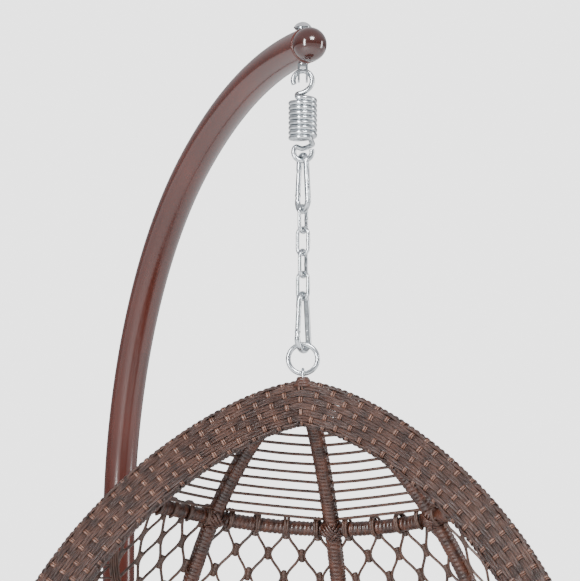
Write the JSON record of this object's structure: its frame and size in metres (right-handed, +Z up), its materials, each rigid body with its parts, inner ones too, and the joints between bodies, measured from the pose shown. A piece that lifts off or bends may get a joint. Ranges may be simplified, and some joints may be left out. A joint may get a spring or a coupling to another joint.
{
  "type": "hanging egg chair",
  "caption": "Open wicker egg-shaped swing seat hung by a spring, snap hooks and a short chain from a swept tubular steel stand with a ring base.",
  "frame": {"origin": "on the floor, at the middle of the overall box", "axes": "+Z is up; the free end of the arm points towards -Y and the pole stands at +Y"},
  "size_m": [1.05, 1.2601, 1.9726],
  "materials": {
    "stand_steel": "satin dark red-brown powder coat",
    "cap": "gloss",
    "zinc": "bright zinc plate",
    "bright_bolt": "polished",
    "core_steel": "satin",
    "wicker": "satin grooved strip",
    "feet": "matt"
  },
  "bodies": {
    "stand": {"base_ring_front": "stand_steel", "base_ring_rear": "stand_steel", "base_joint_plugs": "zinc", "base_spine": "stand_steel", "pole_socket": "stand_steel", "socket_gusset": "stand_steel", "lower_pole": "stand_steel", "pole_spigot": "zinc", "upper_pole": "stand_steel", "end_cap": "cap", "pole_bush": "zinc", "frame_bolts": "zinc", "feet": "feet"},
    "swivel": {"swivel_bolt": "bright_bolt", "swivel_washer": "zinc", "hanger_clevis": "zinc"},
    "spring": {"spring_coils": "zinc"},
    "spring_hook": {"spring_lower_hook": "zinc"},
    "upper_snap": {"upper_snap_hook": "zinc"},
    "upper_gate": {"upper_gate": "zinc", "upper_gate_pin": "zinc"},
    "link_1": {"chain_link_1": "zinc"},
    "link_2": {"chain_link_2": "zinc"},
    "link_3": {"chain_link_3": "zinc"},
    "link_4": {"chain_link_4": "zinc"},
    "lower_snap": {"lower_snap_hook": "zinc"},
    "lower_gate": {"lower_gate": "zinc", "lower_gate_pin": "zinc"},
    "ring": {"hanging_ring": "zinc"},
    "basket": {"basket_eye": "zinc", "apex_hub": "wicker", "rim_outer_hoop": "core_steel", "rim_inner_hoop": "core_steel", "rim_rungs": "core_steel", "rim_back_hoop": "core_steel", "rim_back_wrap": "wicker", "rim_weave": "wicker", "rib_left": "core_steel", "rib_middle": "core_steel", "rib_right": "core_steel", "rib_left_wrap": "wicker", "rib_middle_wrap": "wicker", "rib_right_wrap": "wicker", "upper_ring": "core_steel", "upper_ring_wrap": "wicker", "waist_ring": "core_steel", "waist_ring_wrap": "wicker", "lower_ring": "core_steel", "lower_ring_wrap": "wicker", "crown_strands": "wicker", "net_left_side": "wicker", "net_left_back": "wicker", "net_right_back": "wicker", "net_right_side": "wicker", "side_scroll_left": "wicker", "side_scroll_right": "wicker", "seat_weave": "wicker"}
  },
  "joints": [
    {"name": "swivel_turn", "type": "hinge", "parent": "stand", "child": "swivel", "pos_m": [0, -0.10512, 1.93785], "axis": [0, 0, 1], "continuous": true},
    {"name": "hook_swing", "type": "hinge", "parent": "swivel", "child": "spring", "pos_m": [0, -0.10512, 1.90385], "axis": [0.9205, -0.3907, 0], "range_deg": [-6, 6]},
    {"name": "spring_stretch", "type": "slide", "parent": "spring", "child": "spring_hook", "axis": [0, 0, -1], "range_m": [0, 0.025], "stiffness_N_per_m": 15000, "springref_m": -0.01185, "deforming": ["spring_coils"]},
    {"name": "snap_swing", "type": "hinge", "parent": "spring_hook", "child": "upper_snap", "pos_m": [0, -0.10512, 1.78005], "axis": [-0.9205, 0.3907, 0], "range_deg": [-6, 6]},
    {"name": "upper_gate_swing", "type": "hinge", "parent": "upper_snap", "child": "upper_gate", "pos_m": [-0.0008, -0.08993, 1.73485], "axis": [0.9986, 0.0523, 0], "range_deg": [0, 14], "stiffness_Nm_per_rad": 0.05, "springref_deg": -28.65},
    {"name": "link_1_swing", "type": "hinge", "parent": "upper_snap", "child": "link_1", "pos_m": [0, -0.10512, 1.71135], "axis": [0.0523, -0.9986, 0], "range_deg": [-8, 8]},
    {"name": "link_2_swing", "type": "hinge", "parent": "link_1", "child": "link_2", "pos_m": [0, -0.10512, 1.68235], "axis": [0.829, 0.5592, 0], "range_deg": [-8, 8]},
    {"name": "link_3_swing", "type": "hinge", "parent": "link_2", "child": "link_3", "pos_m": [0, -0.10512, 1.65185], "axis": [0.5592, -0.829, 0], "range_deg": [-8, 8]},
    {"name": "link_4_swing", "type": "hinge", "parent": "link_3", "child": "link_4", "pos_m": [0, -0.10512, 1.62135], "axis": [-0.7986, -0.6018, 0], "range_deg": [-8, 8]},
    {"name": "lower_snap_swing", "type": "hinge", "parent": "link_4", "child": "lower_snap", "pos_m": [0, -0.10512, 1.59085], "axis": [-0.5299, 0.848, 0], "range_deg": [-8, 8]},
    {"name": "lower_gate_swing", "type": "hinge", "parent": "lower_snap", "child": "lower_gate", "pos_m": [-0.01182, -0.11469, 1.54465], "axis": [-0.6293, 0.7771, 0], "range_deg": [0, 14], "stiffness_Nm_per_rad": 0.05, "springref_deg": -28.65},
    {"name": "ring_swing", "type": "hinge", "parent": "lower_snap", "child": "ring", "pos_m": [0, -0.10512, 1.52115], "axis": [0.7771, 0.6293, 0], "range_deg": [-8, 8]},
    {"name": "basket_swing", "type": "hinge", "parent": "ring", "child": "basket", "pos_m": [0, -0.10512, 1.4897], "axis": [-0.9205, 0.3907, 0], "range_deg": [-6, 6]}
  ]
}
